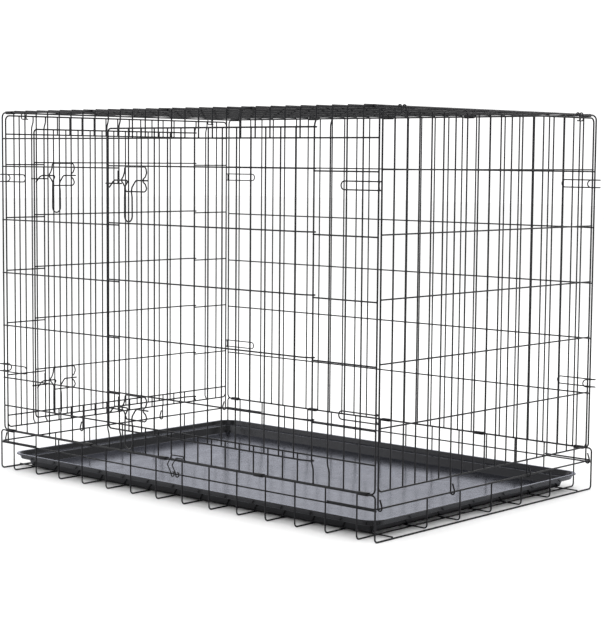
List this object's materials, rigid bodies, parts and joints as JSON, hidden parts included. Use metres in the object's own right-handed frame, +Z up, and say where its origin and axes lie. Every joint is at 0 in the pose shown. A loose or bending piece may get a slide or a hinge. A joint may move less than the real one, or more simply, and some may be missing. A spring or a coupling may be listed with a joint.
{
  "type": "folding wire dog crate",
  "caption": "Rectangular welded wire crate with a swing door in one long side and one end, slide bolts, folding ends and a lift-out floor tray.",
  "frame": {"origin": "on the floor, under the middle of the crate", "axes": "+X towards the plain end, -X towards the end with the door, -Y towards the long side with the door, +Z up"},
  "size_m": [1.0992, 0.7327, 0.7908],
  "materials": {
    "black_wire": "semi-gloss black electro-coat",
    "black_latch": "semi-gloss black electro-coat",
    "black_clip": "satin black",
    "black_plastic": "glossy black moulded plastic"
  },
  "bodies": {
    "frame": {"base_basket": "black_wire", "front_panel": "black_wire", "rear_panel": "black_wire", "top_panel": "black_wire", "side_upper_keeper": "black_wire", "side_lower_keeper": "black_wire", "front_left_upper_corner_hook": "black_wire", "front_left_lower_corner_hook": "black_wire", "front_right_upper_corner_hook": "black_wire", "front_right_lower_corner_hook": "black_wire", "rear_left_upper_corner_hook": "black_wire", "rear_left_lower_corner_hook": "black_wire", "rear_right_upper_corner_hook": "black_wire", "rear_right_lower_corner_hook": "black_wire", "front_top_clip_1": "black_clip", "front_top_clip_2": "black_clip", "front_top_clip_3": "black_clip", "front_top_clip_4": "black_clip", "front_top_clip_5": "black_clip", "front_foot_clip_1": "black_clip", "front_foot_clip_2": "black_clip", "front_foot_clip_3": "black_clip", "front_foot_clip_4": "black_clip", "front_foot_clip_5": "black_clip", "rear_top_clip_1": "black_clip", "rear_top_clip_2": "black_clip", "rear_top_clip_3": "black_clip", "rear_top_clip_4": "black_clip", "rear_top_clip_5": "black_clip", "rear_foot_clip_1": "black_clip", "rear_foot_clip_2": "black_clip", "rear_foot_clip_3": "black_clip", "rear_foot_clip_4": "black_clip", "rear_foot_clip_5": "black_clip"},
    "tray": {"floor_tray": "black_plastic"},
    "right_end": {"right_end_panel": "black_wire"},
    "left_end": {"left_end_panel": "black_wire", "end_upper_keeper": "black_wire", "end_lower_keeper": "black_wire"},
    "side_door": {"side_door": "black_wire", "side_upper_bracket": "black_latch", "side_lower_bracket": "black_latch"},
    "end_door": {"end_door": "black_wire", "end_upper_bracket": "black_latch", "end_lower_bracket": "black_latch"},
    "side_upper_bolt": {"side_upper_bolt": "black_latch"},
    "side_lower_bolt": {"side_lower_bolt": "black_latch"},
    "end_upper_bolt": {"end_upper_bolt": "black_latch"},
    "end_lower_bolt": {"end_lower_bolt": "black_latch"},
    "left_front_top_hook": {"left_front_top_hook": "black_latch"},
    "left_rear_top_hook": {"left_rear_top_hook": "black_latch"},
    "right_front_top_hook": {"right_front_top_hook": "black_latch"},
    "right_rear_top_hook": {"right_rear_top_hook": "black_latch"},
    "side_hook": {"side_hook": "black_latch"}
  },
  "joints": [
    {"name": "tray_lift", "type": "slide", "parent": "frame", "child": "tray", "axis": [0, 0, 1], "range_m": [0, 0.016]},
    {"name": "right_end_fold", "type": "hinge", "parent": "frame", "child": "right_end", "pos_m": [0.5379, 0, 0.0625], "axis": [0, -1, 0], "range_deg": [0, 88]},
    {"name": "left_end_fold", "type": "hinge", "parent": "frame", "child": "left_end", "pos_m": [-0.5379, 0, 0.0625], "axis": [0, 1, 0], "range_deg": [0, 84]},
    {"name": "side_door_swing", "type": "hinge", "parent": "frame", "child": "side_door", "pos_m": [0.3795, -0.353, 0.441], "axis": [0, 0, 1], "range_deg": [0, 160]},
    {"name": "end_door_swing", "type": "hinge", "parent": "left_end", "child": "end_door", "pos_m": [-0.5334, 0.23387, 0.4275], "axis": [0, 0, -1], "range_deg": [0, 160]},
    {"name": "side_upper_bolt_slide", "type": "slide", "parent": "side_door", "child": "side_upper_bolt", "axis": [1, 0, 0], "range_m": [0, 0.024]},
    {"name": "side_lower_bolt_slide", "type": "slide", "parent": "side_door", "child": "side_lower_bolt", "axis": [1, 0, 0], "range_m": [0, 0.024]},
    {"name": "end_upper_bolt_slide", "type": "slide", "parent": "end_door", "child": "end_upper_bolt", "axis": [0, 1, 0], "range_m": [0, 0.024]},
    {"name": "end_lower_bolt_slide", "type": "slide", "parent": "end_door", "child": "end_lower_bolt", "axis": [0, 1, 0], "range_m": [0, 0.024]},
    {"name": "left_front_top_hook_swing", "type": "hinge", "parent": "frame", "child": "left_front_top_hook", "pos_m": [-0.5334, -0.28968, 0.786], "axis": [0, 1, 0], "range_deg": [0, 80]},
    {"name": "left_rear_top_hook_swing", "type": "hinge", "parent": "frame", "child": "left_rear_top_hook", "pos_m": [-0.5334, 0.28968, 0.786], "axis": [0, 1, 0], "range_deg": [0, 80]},
    {"name": "right_front_top_hook_swing", "type": "hinge", "parent": "frame", "child": "right_front_top_hook", "pos_m": [0.5334, -0.28968, 0.786], "axis": [0, -1, 0], "range_deg": [0, 80]},
    {"name": "right_rear_top_hook_swing", "type": "hinge", "parent": "frame", "child": "right_rear_top_hook", "pos_m": [0.5334, 0.28968, 0.786], "axis": [0, -1, 0], "range_deg": [0, 80]},
    {"name": "side_hook_swing", "type": "hinge", "parent": "frame", "child": "side_hook", "pos_m": [0.0075, -0.3545, 0.059], "axis": [1, 0, 0], "range_deg": [0, 95]}
  ]
}
